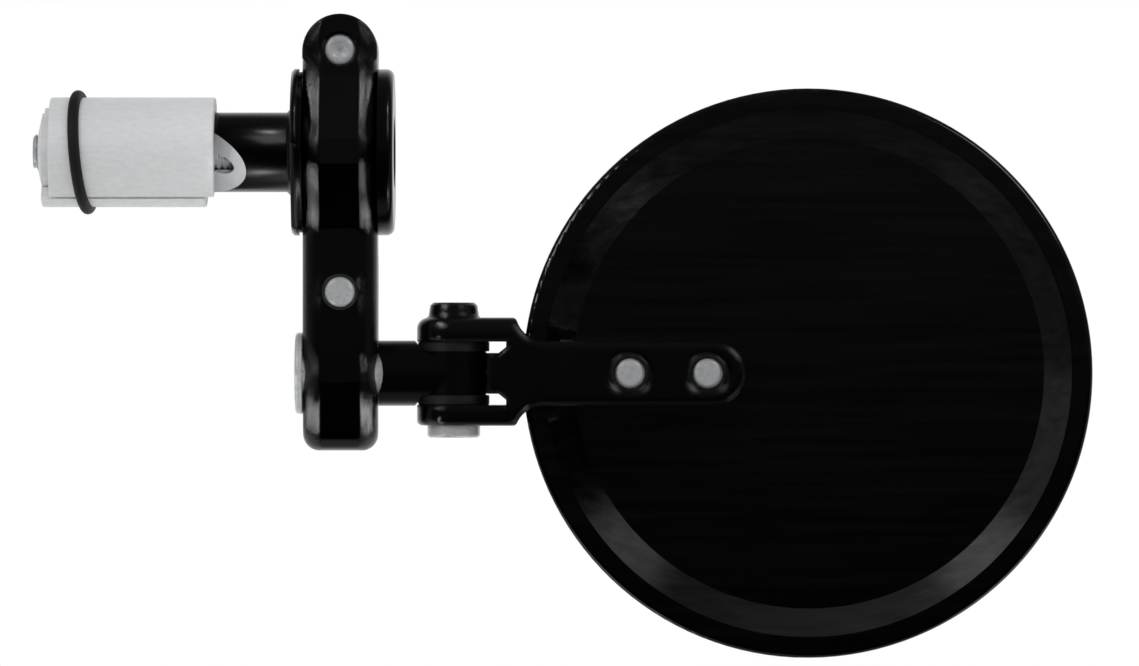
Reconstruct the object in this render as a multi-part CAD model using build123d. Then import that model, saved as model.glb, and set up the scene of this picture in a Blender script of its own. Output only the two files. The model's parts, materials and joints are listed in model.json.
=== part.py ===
from build123d import *
import math
import os

# A motorcycle bar end mirror, in millimetres. The bar's axis is X, with the end of the bar
# at x = 0 and +X pointing outboard. +Z is up, and the mirror's glass faces +Y.

# Running and seating clearances
RUN_CLEARANCE = 0.05
THREAD_CLEARANCE = 0.05
SEAT_CLEARANCE = 0.1

# Edge rounding and tip chamfer of the small screws
SCREW_EDGE = 0.3
SCREW_TIP = 0.3

# Plug that goes into the bar
STEM_RADIUS = 5.3
FLANGE_RADIUS = 11.1
FLANGE_THICKNESS = 0.95
FLANGE_CHAMFER = 0.35
STEM_ROOT = 0.7
NECK_RADIUS = 10.7
NECK_THICKNESS = 0.45
JOURNAL_RADIUS = 7.5
WEDGE_ANGLE = 30.0
WEDGE_ROLL = 30.0
WEDGE_HEEL = -5.96
STEM_TIP = -21.0
DRAW_SLOT_WIDTH = 2.8
DRAW_SLOT_REACH = 4.35

# Wedge nut and draw bolt
NUT_RADIUS = 5.2
NUT_END = -33.75
NUT_DOME = 0.6
NUT_TIP = -11.2
DRAW_BOLT_RADIUS = 2.5
DRAW_HOLE_RADIUS = 2.65
DRAW_BOLT_END = -34.4
DRAW_BOLT_CHAMFER = 0.4
DRAW_HEAD_RADIUS = 4.25
DRAW_HEAD_HEIGHT = 4.0
DRAW_HEAD_RECESS = 1.1
DRAW_HEX = 4.0
DRAW_HEX_DEPTH = 2.5

# Split sleeve and its rubber ring
SLEEVE_RADIUS = 7.3
SLEEVE_BORE = 5.4
SLEEVE_KERF = 0.5
SLEEVE_SPLIT_ROLL = 57.4
SLEEVE_EDGE = 0.15
FRONT_HALF_SPAN = (-32.1, -10.2)
REAR_HALF_SPAN = (-33.2, -11.4)
RING_SECTION = 0.75
RING_PROUD = 1.0
RING_PLACE = -27.83
RING_TILT = 4.8
RING_YAW = 5.6

# Hub cap
CAP_INSET = 0.05
CAP_THICKNESS = 2.1
CAP_EDGE = 1.0
CAP_SPIGOT_RADIUS = 6.25
CAP_FLOOR = 1.5
CAP_BORE_CHAMFER = 0.5

# Arm
ARM_WIDTH = 10.0
ARM_HALF_DEPTH = 4.5
ARM_EDGE = 2.2
TONGUE_CENTRE = 13.3
TONGUE_EDGE = 0.4
HUB_HALF_DEPTH = 9.5
HUB_FACET_HALF = 1.7
HUB_FOOT = 10.2
LOWER_AXIS = -29.4
LOWER_FACET_START = -30.6
ARM_BOTTOM = -39.7
BOTTOM_ROUND = 3.45
SLIT = 1.2
LOWER_SLIT_TOP = -14.0

# Pinch screws, with heads sunk in the far side of the arm
PINCH_RADIUS = 2.0
PINCH_HEAD_RADIUS = 3.5
PINCH_HEAD_HEIGHT = 2.2
PINCH_SINK = 2.3
PINCH_HEX = 2.5
PINCH_HEX_DEPTH = 1.3
PINCH_HOLE_CHAMFER = 0.35
HUB_PINCH_HEIGHT = 13.55
STALK_PINCH_HEIGHT = -18.6
HUB_TIP_INSET = 0.3
STALK_TIP_INSET = 0.0
TIP_DIMPLE_RADIUS = 1.1

# Pivot pin and stalk
PIN_RADIUS = 3.5
PIN_HEAD_RADIUS = 5.4
PIN_HEAD_HEIGHT = 0.95
PIN_HEAD_EDGE = 0.45
PIN_THREAD_RADIUS = 2.5
PIN_SHOULDER = 1.4
PIN_THREAD_LENGTH = 3.2
STALK_RADIUS = 4.35
SCALLOP_RADIUS = 6.15
SCALLOP_DEPTH = 0.65
KNUCKLE_PLACE = 21.5
EYE_THICKNESS = 5.8
SHOULDER_RADIUS = 5.2
WASHER_RADIUS = 4.75
WASHER_THICKNESS = 1.2
WASHER_EDGE = 0.3

# Bracket: fork, neck and strap
FORK_RADIUS = 4.9
FORK_SLOT = 8.4
UPPER_EAR = 7.4
LOWER_EAR = 6.95
LOWER_EAR_EDGE = 0.7
UPPER_EAR_EDGE = 1.5
FORK_FACE_END = 29.8
FORK_BACK_END = 30.2
SLOT_ROOT = 28.5
NOSE_GAP = 0.15
NOSE_SHOULDER = 27.5
NOSE_TIP_HEIGHT = 5.4
NOSE_ROOT_HEIGHT = 7.0
NECK_CURVE = 4.0
STRAP_WIDTH = 8.5
STRAP_END = 60.3
STRAP_THICKNESS = 3.9
STRAP_EDGE = 0.6
BOSS_TOP_RADIUS = 3.15
BOSS_ROOT_RADIUS = 3.35
BOSS_HEIGHT = 2.0
BOSS_DOME = 0.4
BOSS_FLARE = 0.25

# Knuckle bolt
KNUCKLE_BOLT_RADIUS = 2.0
KNUCKLE_HEAD_RADIUS = 3.5
KNUCKLE_HEAD_HEIGHT = 1.6
KNUCKLE_HEAD_EDGE = 0.4
KNUCKLE_HEX = 2.5
KNUCKLE_HEX_DEPTH = 1.0
KNUCKLE_HOLE_TOP_WALL = 0.8

# Round head
HEAD_RADIUS = 38.0
HEAD_DEPTH = 8.0
HEAD_GAP = 0.5
RIM_WIDTH = 2.8
BEVEL_WIDTH = 3.9
BEVEL_RISE = 2.8
GROOVE_WIDTH = 0.3
GROOVE_DEPTH = 0.3
RIM_EDGE = 0.7
RIM_WALL = 2.0
RECESS_DEPTH = 4.0
LIP_EDGE = 0.5
PAD_MARGIN = 1.5
PAD_THICKNESS = 0.6
GLASS_THICKNESS = 1.8
GLASS_SAG = 1.0
GLASS_EDGE_GAP = 0.15

# Mirror screws, driven from inside the head
MIRROR_SCREW_PLACES = (44.9, 55.2)
MIRROR_SCREW_RADIUS = 2.0
MIRROR_SCREW_HEAD_RADIUS = 3.5
MIRROR_SCREW_HEAD_HEIGHT = 2.0
MIRROR_SCREW_SINK = 2.2
MIRROR_SCREW_HEX = 2.5
MIRROR_SCREW_HEX_DEPTH = 1.1
MIRROR_SCREW_TIP_INSET = 0.3
MIRROR_HOLE_CHAMFER = 0.7

# Places that follow from the sizes above
JOURNAL_START = FLANGE_THICKNESS + NECK_THICKNESS
ARM_LEFT = JOURNAL_START + RUN_CLEARANCE
ARM_RIGHT = ARM_LEFT + ARM_WIDTH
ARM_MIDDLE = (ARM_LEFT + ARM_RIGHT) / 2
CAP_RADIUS = FLANGE_RADIUS - CAP_INSET
CAP_SEAT = ARM_RIGHT + RUN_CLEARANCE
CAP_FACE = CAP_SEAT + CAP_THICKNESS
DRAW_HEAD_FACE = CAP_FACE - DRAW_HEAD_RECESS
DRAW_HEAD_SEAT = DRAW_HEAD_FACE - DRAW_HEAD_HEIGHT
SPIGOT_END = DRAW_HEAD_SEAT - CAP_FLOOR
STALK_START = ARM_RIGHT + RUN_CLEARANCE
PIN_THREAD_START = STALK_START + PIN_SHOULDER
NOSE_TIP = KNUCKLE_PLACE + STALK_RADIUS + NOSE_GAP
STRAP_BACK = -FORK_RADIUS
HEAD_BACK = STRAP_BACK + STRAP_THICKNESS
HEAD_LIP = HEAD_BACK + HEAD_DEPTH
HEAD_PLACE = FORK_BACK_END + HEAD_GAP + HEAD_RADIUS
BEVEL_RADIUS = HEAD_RADIUS - RIM_WIDTH
BACK_RADIUS = BEVEL_RADIUS - BEVEL_WIDTH
RECESS_RADIUS = HEAD_RADIUS - RIM_WALL
PAD_RADIUS = RECESS_RADIUS - PAD_MARGIN
RECESS_FLOOR = HEAD_LIP - RECESS_DEPTH
GLASS_BACK = RECESS_FLOOR + PAD_THICKNESS
BOSS_TOP = UPPER_EAR + BOSS_HEIGHT
TAPPED_RADIUS = PINCH_RADIUS + THREAD_CLEARANCE


def turned(profile):
    """A solid of revolution about X from (x, radius) points."""
    return revolve(make_face(Polyline(*profile, close=True)), Axis.X)


def along(origin, axis):
    """The place of a turned piece whose axis starts at origin and points along axis."""
    side = (0, 0, 1) if abs(axis[2]) < 0.5 else (0, 1, 0)
    return Plane(origin=origin, x_dir=axis, z_dir=side).location


def rod(origin, axis, radius, length):
    """A plain cylinder from origin along axis."""
    return Solid.make_cylinder(radius, length, Plane(origin=origin, z_dir=axis))


def funnel(origin, axis, radius, wide_radius):
    """A 45 degree countersink that starts wide at origin and narrows along axis."""
    return Solid.make_cone(wide_radius, radius, wide_radius - radius, Plane(origin=origin, z_dir=axis))


def hex_pocket(origin, axis, across_flats, depth):
    """A hexagonal key pocket sunk from origin along axis."""
    plane = Plane(origin=origin, z_dir=axis)
    return extrude(plane * RegularPolygon(across_flats / 2, 6, major_radius=False), depth)


def socket_screw(head_radius, head_height, radius, length, edge, tip_chamfer):
    """A turned screw: head from x = -head_height to 0, shank from 0 to length."""
    screw = turned(
        [
            (-head_height, 0),
            (-head_height, head_radius),
            (0, head_radius),
            (0, radius),
            (length - tip_chamfer, radius),
            (length, radius - tip_chamfer),
            (length, 0),
        ]
    )
    return fillet(screw.edges().filter_by(GeomType.CIRCLE).sort_by(Axis.X)[0], edge)


def wedge_side():
    """A big block on the nut's side of the oblique wedge face."""
    roll = math.radians(WEDGE_ROLL)
    slope = math.radians(WEDGE_ANGLE)
    outward = Vector(0, -math.cos(roll), -math.sin(roll))
    heel = Vector(WEDGE_HEEL, 0, 0) + outward * STEM_RADIUS
    normal = Vector(-math.sin(slope), 0, 0) + outward * math.cos(slope)
    reach = 6 * STEM_RADIUS - NUT_END
    return extrude(Plane(origin=heel, z_dir=normal) * Rectangle(4 * reach, 4 * reach), reach)


def bar_stem():
    body = turned(
        [
            (STEM_TIP, 0),
            (STEM_TIP, STEM_RADIUS),
            (-STEM_ROOT, STEM_RADIUS),
            (0, STEM_RADIUS + STEM_ROOT),
            (0, FLANGE_RADIUS - FLANGE_CHAMFER),
            (FLANGE_CHAMFER, FLANGE_RADIUS),
            (FLANGE_THICKNESS, FLANGE_RADIUS),
            (FLANGE_THICKNESS, NECK_RADIUS),
            (JOURNAL_START, NECK_RADIUS),
            (JOURNAL_START, JOURNAL_RADIUS),
            (CAP_SEAT, JOURNAL_RADIUS),
            (CAP_SEAT, CAP_SPIGOT_RADIUS + SEAT_CLEARANCE),
            (SPIGOT_END, CAP_SPIGOT_RADIUS + SEAT_CLEARANCE),
            (SPIGOT_END, 0),
        ]
    )
    body -= rod((STEM_TIP, 0, 0), (1, 0, 0), DRAW_HOLE_RADIUS, SPIGOT_END - STEM_TIP)
    roll = math.radians(WEDGE_ROLL)
    slot = Plane(
        origin=(STEM_TIP, 0, 0),
        x_dir=(0, -math.cos(roll), -math.sin(roll)),
        z_dir=(1, 0, 0),
    ) * (Pos(DRAW_SLOT_REACH / 2, 0) * SlotOverall(DRAW_SLOT_REACH, DRAW_SLOT_WIDTH))
    body -= extrude(slot, WEDGE_HEEL - STEM_TIP)
    return body - wedge_side()


def wedge_nut():
    body = turned(
        [
            (NUT_END, 0),
            (NUT_END, DRAW_BOLT_RADIUS + THREAD_CLEARANCE),
            (NUT_END + NUT_DOME, NUT_RADIUS),
            (NUT_TIP, NUT_RADIUS),
            (NUT_TIP, 0),
        ]
    )
    body -= rod((NUT_END, 0, 0), (1, 0, 0), DRAW_BOLT_RADIUS + THREAD_CLEARANCE, NUT_TIP - NUT_END)
    return body & wedge_side()


def draw_bolt():
    length = DRAW_HEAD_SEAT - DRAW_BOLT_END
    screw = socket_screw(
        DRAW_HEAD_RADIUS, DRAW_HEAD_HEIGHT, DRAW_BOLT_RADIUS, length, DRAW_BOLT_CHAMFER / 2, DRAW_BOLT_CHAMFER
    )
    screw -= hex_pocket((-DRAW_HEAD_HEIGHT, 0, 0), (1, 0, 0), DRAW_HEX, DRAW_HEX_DEPTH)
    return along((DRAW_HEAD_SEAT, 0, 0), (-1, 0, 0)) * screw


def sleeve_half(span, side):
    """One half of the split sleeve, on the upper front (1) or lower rear (-1) side."""
    start, end = span
    tube = turned(
        [
            (start, SLEEVE_BORE),
            (start, SLEEVE_RADIUS - SLEEVE_EDGE),
            (start + SLEEVE_EDGE, SLEEVE_RADIUS),
            (end - SLEEVE_EDGE, SLEEVE_RADIUS),
            (end, SLEEVE_RADIUS - SLEEVE_EDGE),
            (end, SLEEVE_BORE),
        ]
    )
    roll = math.radians(SLEEVE_SPLIT_ROLL)
    normal = Vector(0, -math.sin(roll), math.cos(roll)) * side
    keep = Plane(origin=Vector((start + end) / 2, 0, 0) + normal * (SLEEVE_KERF / 2), z_dir=normal)
    width = 2 * (end - start) + 4 * SLEEVE_RADIUS
    return tube & extrude(keep * Rectangle(width, width), 2 * SLEEVE_RADIUS)


def sleeve_ring():
    axis = Vector(1, -math.tan(math.radians(RING_YAW)), math.tan(math.radians(RING_TILT)))
    plane = Plane(origin=(RING_PLACE, 0, 0), z_dir=axis)
    ring = Solid.make_torus(SLEEVE_RADIUS + RING_PROUD - RING_SECTION, RING_SECTION, plane)
    half_length = SLEEVE_RADIUS + RING_SECTION
    return ring - rod((RING_PLACE - half_length, 0, 0), (1, 0, 0), SLEEVE_RADIUS, 2 * half_length)


def hub_cap():
    head_bore = DRAW_HEAD_RADIUS + SEAT_CLEARANCE
    cap = turned(
        [
            (SPIGOT_END, 0),
            (SPIGOT_END, CAP_SPIGOT_RADIUS),
            (CAP_SEAT, CAP_SPIGOT_RADIUS),
            (CAP_SEAT, CAP_RADIUS),
            (CAP_FACE, CAP_RADIUS),
            (CAP_FACE, 0),
        ]
    )
    rim = cap.edges().filter_by(GeomType.CIRCLE).sort_by(Axis.X)[-1]
    cap = fillet(rim, CAP_EDGE)
    cap -= rod((SPIGOT_END, 0, 0), (1, 0, 0), DRAW_HOLE_RADIUS, CAP_FACE - SPIGOT_END)
    cap -= rod((DRAW_HEAD_SEAT, 0, 0), (1, 0, 0), head_bore, CAP_FACE - DRAW_HEAD_SEAT)
    return cap - funnel((CAP_FACE, 0, 0), (-1, 0, 0), head_bore, head_bore + CAP_BORE_CHAMFER)


def foot_tangent():
    """Where the lower facet meets the rounded foot, on the +Y side."""
    centre = ARM_BOTTOM + BOTTOM_ROUND
    rise = LOWER_FACET_START - centre
    angle = math.atan2(rise, ARM_HALF_DEPTH) - math.acos(BOTTOM_ROUND / math.hypot(rise, ARM_HALF_DEPTH))
    return BOTTOM_ROUND * math.cos(angle), centre + BOTTOM_ROUND * math.sin(angle)


def arm_bar():
    """The arm below its tongue: faceted hub, flat arm and rounded foot, with rounded edges."""
    foot_depth, foot_height = foot_tangent()
    front = [
        (-ARM_HALF_DEPTH, TONGUE_CENTRE),
        (-ARM_HALF_DEPTH, HUB_FOOT),
        (-HUB_HALF_DEPTH, HUB_FACET_HALF),
        (-HUB_HALF_DEPTH, -HUB_FACET_HALF),
        (-ARM_HALF_DEPTH, -HUB_FOOT),
        (-ARM_HALF_DEPTH, LOWER_FACET_START),
        (-foot_depth, foot_height),
    ]
    back = [(-y, z) for y, z in reversed(front)]
    outline = Polyline(*front) + ThreePointArc(front[-1], (0, ARM_BOTTOM), back[0])
    outline += Polyline(*back) + Line(back[-1], front[0])
    bar = extrude(Plane.YZ.offset(ARM_LEFT) * make_face(outline), ARM_WIDTH)
    sides = bar.faces().filter_by(Axis.X)
    edges = sides.edges().filter_by(lambda edge: edge.center().Z < TONGUE_CENTRE - RUN_CLEARANCE)
    return fillet(edges, ARM_EDGE)


def arm_tongue():
    """The flat tongue at the arm's top, with a round end and cut lower corners."""
    half = ARM_WIDTH / 2
    inner = half - ARM_EDGE
    outline = Polyline(
        (-half, TONGUE_CENTRE),
        (-half, HUB_FOOT + ARM_EDGE),
        (-inner, HUB_FOOT),
        (inner, HUB_FOOT),
        (half, HUB_FOOT + ARM_EDGE),
        (half, TONGUE_CENTRE),
    )
    outline += ThreePointArc((half, TONGUE_CENTRE), (0, TONGUE_CENTRE + half), (-half, TONGUE_CENTRE))
    plane = Plane(origin=(ARM_MIDDLE, 0, 0), x_dir=(1, 0, 0), z_dir=(0, -1, 0))
    tongue = extrude(plane * make_face(outline), ARM_HALF_DEPTH, both=True)
    rim = tongue.edges().filter_by(GeomType.CIRCLE)
    return fillet(rim, TONGUE_EDGE)


def pinch_hole(height):
    """Everything that a pinch screw needs cut in the arm."""
    front = -ARM_HALF_DEPTH
    hole = rod((ARM_MIDDLE, front, height), (0, 1, 0), TAPPED_RADIUS, 2 * ARM_HALF_DEPTH)
    hole += funnel((ARM_MIDDLE, front, height), (0, 1, 0), TAPPED_RADIUS, TAPPED_RADIUS + PINCH_HOLE_CHAMFER)
    seat = ARM_HALF_DEPTH - PINCH_SINK
    return hole + rod((ARM_MIDDLE, seat, height), (0, 1, 0), PINCH_HEAD_RADIUS + SEAT_CLEARANCE, PINCH_SINK)


def swing_arm():
    body = arm_bar() + arm_tongue()
    body -= rod((ARM_LEFT, 0, 0), (1, 0, 0), JOURNAL_RADIUS + RUN_CLEARANCE, ARM_WIDTH)
    body -= rod((ARM_LEFT, 0, LOWER_AXIS), (1, 0, 0), PIN_RADIUS + RUN_CLEARANCE, ARM_WIDTH)
    tongue_top = TONGUE_CENTRE + ARM_WIDTH / 2
    body -= Pos(ARM_MIDDLE, 0, tongue_top / 2) * Box(ARM_WIDTH, SLIT, tongue_top)
    slit_length = LOWER_SLIT_TOP - LOWER_AXIS
    body -= Pos(ARM_MIDDLE, 0, LOWER_AXIS + slit_length / 2) * Box(ARM_WIDTH, SLIT, slit_length)
    for height in (HUB_PINCH_HEIGHT, STALK_PINCH_HEIGHT):
        body -= pinch_hole(height)
    return body


def pinch_screw(height, tip_inset):
    """One of the arm's clamp screws, with its tip that far below the arm's front."""
    seat = ARM_HALF_DEPTH - PINCH_SINK
    length = seat + ARM_HALF_DEPTH - tip_inset
    screw = socket_screw(PINCH_HEAD_RADIUS, PINCH_HEAD_HEIGHT, PINCH_RADIUS, length, SCREW_EDGE, SCREW_TIP)
    screw -= hex_pocket((-PINCH_HEAD_HEIGHT, 0, 0), (1, 0, 0), PINCH_HEX, PINCH_HEX_DEPTH)
    return along((ARM_MIDDLE, seat, height), (0, -1, 0)) * screw


def hub_pinch_screw():
    """The upper clamp screw, whose tip has a conical centre hole."""
    tip = (ARM_MIDDLE, HUB_TIP_INSET - ARM_HALF_DEPTH, HUB_PINCH_HEIGHT)
    return pinch_screw(HUB_PINCH_HEIGHT, HUB_TIP_INSET) - funnel(tip, (0, 1, 0), 0, TIP_DIMPLE_RADIUS)


def pivot_pin():
    head_left = ARM_LEFT - RUN_CLEARANCE - PIN_HEAD_HEIGHT
    thread_end = PIN_THREAD_START + PIN_THREAD_LENGTH
    pin = turned(
        [
            (head_left, 0),
            (head_left, PIN_HEAD_RADIUS),
            (head_left + PIN_HEAD_HEIGHT, PIN_HEAD_RADIUS),
            (head_left + PIN_HEAD_HEIGHT, PIN_RADIUS),
            (PIN_THREAD_START, PIN_RADIUS),
            (PIN_THREAD_START, PIN_THREAD_RADIUS),
            (thread_end, PIN_THREAD_RADIUS),
            (thread_end, 0),
        ]
    )
    pin = fillet(pin.edges().filter_by(GeomType.CIRCLE).sort_by(Axis.X)[0], PIN_HEAD_EDGE)
    return Pos(0, 0, LOWER_AXIS) * pin


def mirror_stalk():
    axis_point = (STALK_START, 0, LOWER_AXIS)
    body = rod(axis_point, (1, 0, 0), STALK_RADIUS, KNUCKLE_PLACE - STALK_START)
    eye_foot = (KNUCKLE_PLACE, 0, LOWER_AXIS - EYE_THICKNESS / 2)
    body += rod(eye_foot, (0, 0, 1), STALK_RADIUS, EYE_THICKNESS)
    for side in (1, -1):
        face = (KNUCKLE_PLACE, 0, LOWER_AXIS + side * EYE_THICKNESS / 2)
        body -= rod(face, (0, 0, side), SHOULDER_RADIUS, STALK_RADIUS)
    body -= rod(eye_foot, (0, 0, 1), KNUCKLE_BOLT_RADIUS + RUN_CLEARANCE, EYE_THICKNESS)
    shoulder_hole = PIN_RADIUS + THREAD_CLEARANCE
    body -= rod(axis_point, (1, 0, 0), shoulder_hole, PIN_SHOULDER)
    tapped = PIN_THREAD_RADIUS + THREAD_CLEARANCE
    body -= rod(axis_point, (1, 0, 0), tapped, PIN_SHOULDER + PIN_THREAD_LENGTH + SEAT_CLEARANCE)
    scallop_axis = (STALK_START + SCALLOP_DEPTH - SCALLOP_RADIUS, -STALK_RADIUS, LOWER_AXIS)
    return body - rod(scallop_axis, (0, 1, 0), SCALLOP_RADIUS, 2 * STALK_RADIUS)


def knuckle_washer(side):
    gap = (FORK_SLOT - EYE_THICKNESS) / 2 - WASHER_THICKNESS
    foot = LOWER_AXIS + side * (EYE_THICKNESS / 2 + gap / 2)
    washer = rod((KNUCKLE_PLACE, 0, foot), (0, 0, side), WASHER_RADIUS, WASHER_THICKNESS)
    washer = fillet(washer.edges().filter_by(GeomType.CIRCLE), WASHER_EDGE)
    hole = KNUCKLE_BOLT_RADIUS + RUN_CLEARANCE
    return washer - rod((KNUCKLE_PLACE, 0, foot), (0, 0, side), hole, WASHER_THICKNESS)


def bracket_side_profile():
    """The bracket seen along Y: fork, curved neck and strap with a round end."""
    half_strap = STRAP_WIDTH / 2
    fork_left = KNUCKLE_PLACE - FORK_RADIUS

    def neck_end(ear):
        rise = half_strap + NECK_CURVE - ear
        return FORK_FACE_END + math.sqrt(NECK_CURVE**2 - rise**2)

    upper_neck = neck_end(UPPER_EAR)
    lower_neck = neck_end(LOWER_EAR)
    round_centre = STRAP_END - half_strap
    outline = Polyline((fork_left, UPPER_EAR), (FORK_FACE_END, UPPER_EAR))
    outline += RadiusArc((FORK_FACE_END, UPPER_EAR), (upper_neck, half_strap), -NECK_CURVE)
    outline += Line((upper_neck, half_strap), (round_centre, half_strap))
    outline += ThreePointArc((round_centre, half_strap), (STRAP_END, 0), (round_centre, -half_strap))
    outline += Line((round_centre, -half_strap), (lower_neck, -half_strap))
    outline += RadiusArc((lower_neck, -half_strap), (FORK_FACE_END, -LOWER_EAR), -NECK_CURVE)
    outline += Polyline((FORK_FACE_END, -LOWER_EAR), (fork_left, -LOWER_EAR), (fork_left, UPPER_EAR))
    return knuckle_plane() * make_face(outline)


def knuckle_plane():
    """The plane y = 0 seen from the front, with its height measured from the knuckle."""
    return Plane(origin=(0, 0, LOWER_AXIS), x_dir=(1, 0, 0), z_dir=(0, -1, 0))


def bracket_plan():
    """The bracket seen along Z: round ears, square fork and flat strap behind the head."""
    fork = Pos(KNUCKLE_PLACE, 0) * Circle(FORK_RADIUS)
    fork_length = FORK_BACK_END - KNUCKLE_PLACE
    fork += Pos(KNUCKLE_PLACE + fork_length / 2, 0) * Rectangle(fork_length, 2 * FORK_RADIUS)
    strap_length = STRAP_END - KNUCKLE_PLACE
    strap_middle = (STRAP_BACK + HEAD_BACK) / 2
    return fork + Pos(KNUCKLE_PLACE + strap_length / 2, strap_middle) * Rectangle(strap_length, STRAP_THICKNESS)


def fork_slot():
    """The gap between the ears, with the nose that stands in its root."""
    half = FORK_SLOT / 2
    left = KNUCKLE_PLACE - 2 * FORK_RADIUS
    outline = Polyline(
        (left, half),
        (SLOT_ROOT, half),
        (SLOT_ROOT, NOSE_ROOT_HEIGHT / 2),
        (NOSE_SHOULDER, NOSE_TIP_HEIGHT / 2),
        (NOSE_TIP, NOSE_TIP_HEIGHT / 2),
        (NOSE_TIP, -NOSE_TIP_HEIGHT / 2),
        (NOSE_SHOULDER, -NOSE_TIP_HEIGHT / 2),
        (SLOT_ROOT, -NOSE_ROOT_HEIGHT / 2),
        (SLOT_ROOT, -half),
        (left, -half),
        close=True,
    )
    return extrude(knuckle_plane() * make_face(outline), 2 * FORK_RADIUS, both=True)


def strap_rim(body):
    """The strap's outline on the side away from the head, from the neck to its round end."""
    face = body.faces().filter_by(Axis.Y).sort_by(Axis.Y)[0]
    return face.edges().filter_by(lambda edge: edge.center().X > FORK_FACE_END)


def ear_rim(body, side):
    """The rounded outline of the upper (1) or lower (-1) ear's outer face."""
    face = body.faces().filter_by(Axis.Z).sort_by(Axis.Z)[-1 if side > 0 else 0]
    return face.edges().filter_by(lambda edge: edge.center().X < FORK_FACE_END - RUN_CLEARANCE)


def mirror_bracket():
    body = extrude(bracket_side_profile(), FORK_RADIUS, both=True)
    plan = Pos(0, 0, LOWER_AXIS) * bracket_plan()
    body &= extrude(plan, 2 * UPPER_EAR, both=True)
    body = fillet(ear_rim(body, 1), UPPER_EAR_EDGE)
    body = fillet(ear_rim(body, -1), LOWER_EAR_EDGE)
    body = fillet(strap_rim(body), STRAP_EDGE)
    body -= fork_slot()
    boss = turned(
        [
            (-UPPER_EAR_EDGE, 0),
            (-UPPER_EAR_EDGE, BOSS_ROOT_RADIUS + BOSS_FLARE),
            (0, BOSS_ROOT_RADIUS + BOSS_FLARE),
            (BOSS_FLARE, BOSS_ROOT_RADIUS),
            (BOSS_HEIGHT - BOSS_DOME, BOSS_TOP_RADIUS),
            (BOSS_HEIGHT, BOSS_TOP_RADIUS - BOSS_DOME),
            (BOSS_HEIGHT, 0),
        ]
    )
    body += along((KNUCKLE_PLACE, 0, LOWER_AXIS + UPPER_EAR), (0, 0, 1)) * boss
    bolt_hole = KNUCKLE_BOLT_RADIUS + RUN_CLEARANCE
    hole_length = LOWER_EAR + BOSS_TOP - KNUCKLE_HOLE_TOP_WALL
    body -= rod((KNUCKLE_PLACE, 0, LOWER_AXIS - LOWER_EAR), (0, 0, 1), bolt_hole, hole_length)
    for place in MIRROR_SCREW_PLACES:
        body -= rod((place, STRAP_BACK, LOWER_AXIS), (0, 1, 0), TAPPED_RADIUS, STRAP_THICKNESS)
        wide = TAPPED_RADIUS + MIRROR_HOLE_CHAMFER
        body -= funnel((place, STRAP_BACK, LOWER_AXIS), (0, 1, 0), TAPPED_RADIUS, wide)
    return body


def knuckle_bolt():
    length = LOWER_EAR + BOSS_TOP - KNUCKLE_HOLE_TOP_WALL - SEAT_CLEARANCE
    bolt = socket_screw(
        KNUCKLE_HEAD_RADIUS, KNUCKLE_HEAD_HEIGHT, KNUCKLE_BOLT_RADIUS, length, KNUCKLE_HEAD_EDGE, KNUCKLE_HEAD_EDGE
    )
    bolt -= hex_pocket((-KNUCKLE_HEAD_HEIGHT, 0, 0), (1, 0, 0), KNUCKLE_HEX, KNUCKLE_HEX_DEPTH)
    return along((KNUCKLE_PLACE, 0, LOWER_AXIS - LOWER_EAR), (0, 0, 1)) * bolt


def mirror_screws():
    seat = RECESS_FLOOR - MIRROR_SCREW_SINK
    length = seat - STRAP_BACK - MIRROR_SCREW_TIP_INSET
    screw = socket_screw(
        MIRROR_SCREW_HEAD_RADIUS, MIRROR_SCREW_HEAD_HEIGHT, MIRROR_SCREW_RADIUS, length, SCREW_EDGE, SCREW_TIP
    )
    screw -= hex_pocket((-MIRROR_SCREW_HEAD_HEIGHT, 0, 0), (1, 0, 0), MIRROR_SCREW_HEX, MIRROR_SCREW_HEX_DEPTH)
    return Compound(
        children=[along((place, seat, LOWER_AXIS), (0, -1, 0)) * screw.solid() for place in MIRROR_SCREW_PLACES]
    )


def head_turned(profile):
    """A piece turned about the round head's axis, from (y, radius) points."""
    return along((HEAD_PLACE, 0, LOWER_AXIS), (0, 1, 0)) * turned(profile)


def mirror_housing():
    rim_back = HEAD_BACK + BEVEL_RISE
    groove_end = BEVEL_RADIUS + GROOVE_WIDTH
    housing = head_turned(
        [
            (HEAD_BACK, 0),
            (HEAD_BACK, BACK_RADIUS),
            (rim_back, BEVEL_RADIUS),
            (rim_back + GROOVE_DEPTH, BEVEL_RADIUS),
            (rim_back + GROOVE_DEPTH, groove_end),
            (rim_back, groove_end),
            (rim_back, HEAD_RADIUS),
            (HEAD_LIP, HEAD_RADIUS),
            (HEAD_LIP, RECESS_RADIUS),
            (RECESS_FLOOR, RECESS_RADIUS),
            (RECESS_FLOOR, 0),
        ]
    )
    for radius, end in ((RIM_EDGE, 0), (LIP_EDGE, -1)):
        rims = housing.edges().filter_by(GeomType.CIRCLE).sort_by(lambda edge: edge.radius)[-2:]
        housing = fillet(rims.sort_by(Axis.Y)[end], radius)
    for place in MIRROR_SCREW_PLACES:
        housing -= rod((place, HEAD_BACK, LOWER_AXIS), (0, 1, 0), TAPPED_RADIUS, HEAD_DEPTH)
        seat = RECESS_FLOOR - MIRROR_SCREW_SINK
        head_hole = MIRROR_SCREW_HEAD_RADIUS + SEAT_CLEARANCE
        housing -= rod((place, seat, LOWER_AXIS), (0, 1, 0), head_hole, MIRROR_SCREW_SINK)
    return housing


def glass_pad():
    return rod((HEAD_PLACE, RECESS_FLOOR, LOWER_AXIS), (0, 1, 0), PAD_RADIUS, PAD_THICKNESS)


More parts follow.
